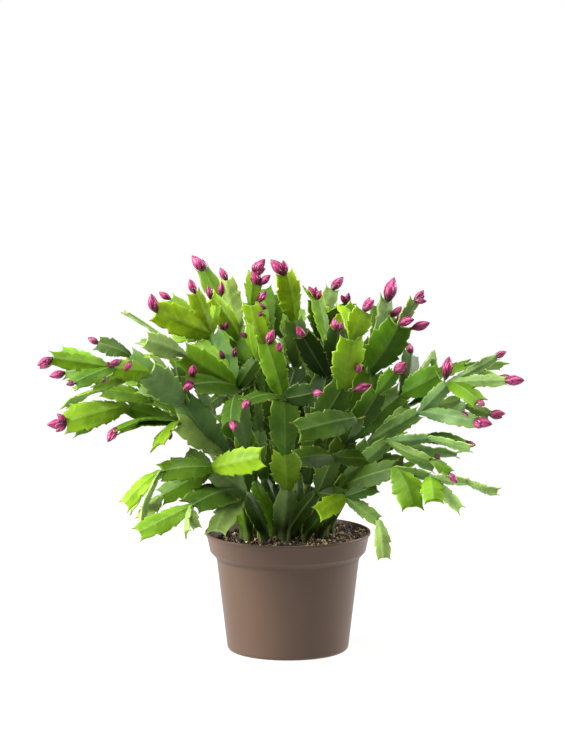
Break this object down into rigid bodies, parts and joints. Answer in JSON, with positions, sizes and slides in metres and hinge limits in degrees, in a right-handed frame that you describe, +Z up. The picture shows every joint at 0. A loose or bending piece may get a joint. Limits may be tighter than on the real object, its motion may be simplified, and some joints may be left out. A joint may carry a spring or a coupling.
{
  "type": "potted easter cactus",
  "caption": "Holiday cactus in a round tapered nursery pot: arching leafy stems of flat toothed pads, tipped with slender closed flower buds, standing in dark soil.",
  "frame": {"origin": "centre of the flat base of the pot, on the surface it stands on", "axes": "+Z up along the pot's axis, +X to the right of a viewer who faces the plant as pictured, -Y toward that viewer"},
  "size_m": [0.3463, 0.2857, 0.2896],
  "materials": {
    "pot_brown": "satin",
    "soil_dark": "matte",
    "leaf_green": "satin",
    "bud_pink": "satin"
  },
  "bodies": {
    "root": {"flower_buds_centre_front_broad": "bud_pink", "flower_buds_centre_front_left": "bud_pink", "flower_buds_centre_front_right": "bud_pink", "flower_buds_far_middle_left_end": "bud_pink", "flower_buds_far_right_left_end": "bud_pink", "flower_buds_left_inner_hung": "bud_pink", "flower_buds_left_long_arm_tip": "bud_pink", "flower_buds_left_long_level_broad": "bud_pink", "flower_buds_left_long_level_low": "bud_pink", "flower_buds_left_long_reach_low": "bud_pink", "flower_buds_left_long_reach_tip": "bud_pink", "flower_buds_right_back_broad": "bud_pink", "flower_buds_right_back_broad_tip": "bud_pink", "flower_buds_right_back_side_top": "bud_pink", "flower_buds_right_back_thin": "bud_pink", "flower_buds_right_high_broad_top": "bud_pink", "flower_buds_right_high_inner_left": "bud_pink", "flower_buds_right_high_inner_right": "bud_pink", "flower_buds_right_high_side": "bud_pink", "flower_buds_right_inner_grey_tip": "bud_pink", "flower_buds_right_long_end_high": "bud_pink", "flower_buds_right_long_end_level": "bud_pink", "flower_buds_right_long_end_low": "bud_pink", "flower_buds_right_long_fork": "bud_pink", "flower_buds_right_long_under": "bud_pink", "flower_buds_right_low_under_end": "bud_pink", "flower_buds_top_left_front": "bud_pink", "flower_buds_top_left_top_mid": "bud_pink", "flower_buds_top_left_top_out": "bud_pink", "flower_buds_top_middle_left_tip": "bud_pink", "flower_buds_top_middle_left_top": "bud_pink", "flower_buds_top_middle_right_top": "bud_pink", "flower_buds_top_right_top": "bud_pink", "flower_buds_top_right_top_out": "bud_pink", "flower_buds_upper_left_low": "bud_pink", "flower_buds_upper_left_top_left": "bud_pink", "flower_buds_upper_left_top_right": "bud_pink", "leafy_stem_centre_front": "leaf_green", "leafy_stem_far_left": "leaf_green", "leafy_stem_far_left_low": "leaf_green", "leafy_stem_far_middle": "leaf_green", "leafy_stem_far_middle_high": "leaf_green", "leafy_stem_far_right": "leaf_green", "leafy_stem_far_right_high": "leaf_green", "leafy_stem_front_right": "leaf_green", "leafy_stem_left_inner": "leaf_green", "leafy_stem_left_long": "leaf_green", "leafy_stem_left_low": "leaf_green", "leafy_stem_right_back": "leaf_green", "leafy_stem_right_high": "leaf_green", "leafy_stem_right_inner": "leaf_green", "leafy_stem_right_long": "leaf_green", "leafy_stem_right_low": "leaf_green", "leafy_stem_right_lowest": "leaf_green", "leafy_stem_top_left": "leaf_green", "leafy_stem_top_middle": "leaf_green", "leafy_stem_top_right": "leaf_green", "leafy_stem_upper_left": "leaf_green", "pot": "pot_brown", "soil": "soil_dark"}
  },
  "joints": []
}
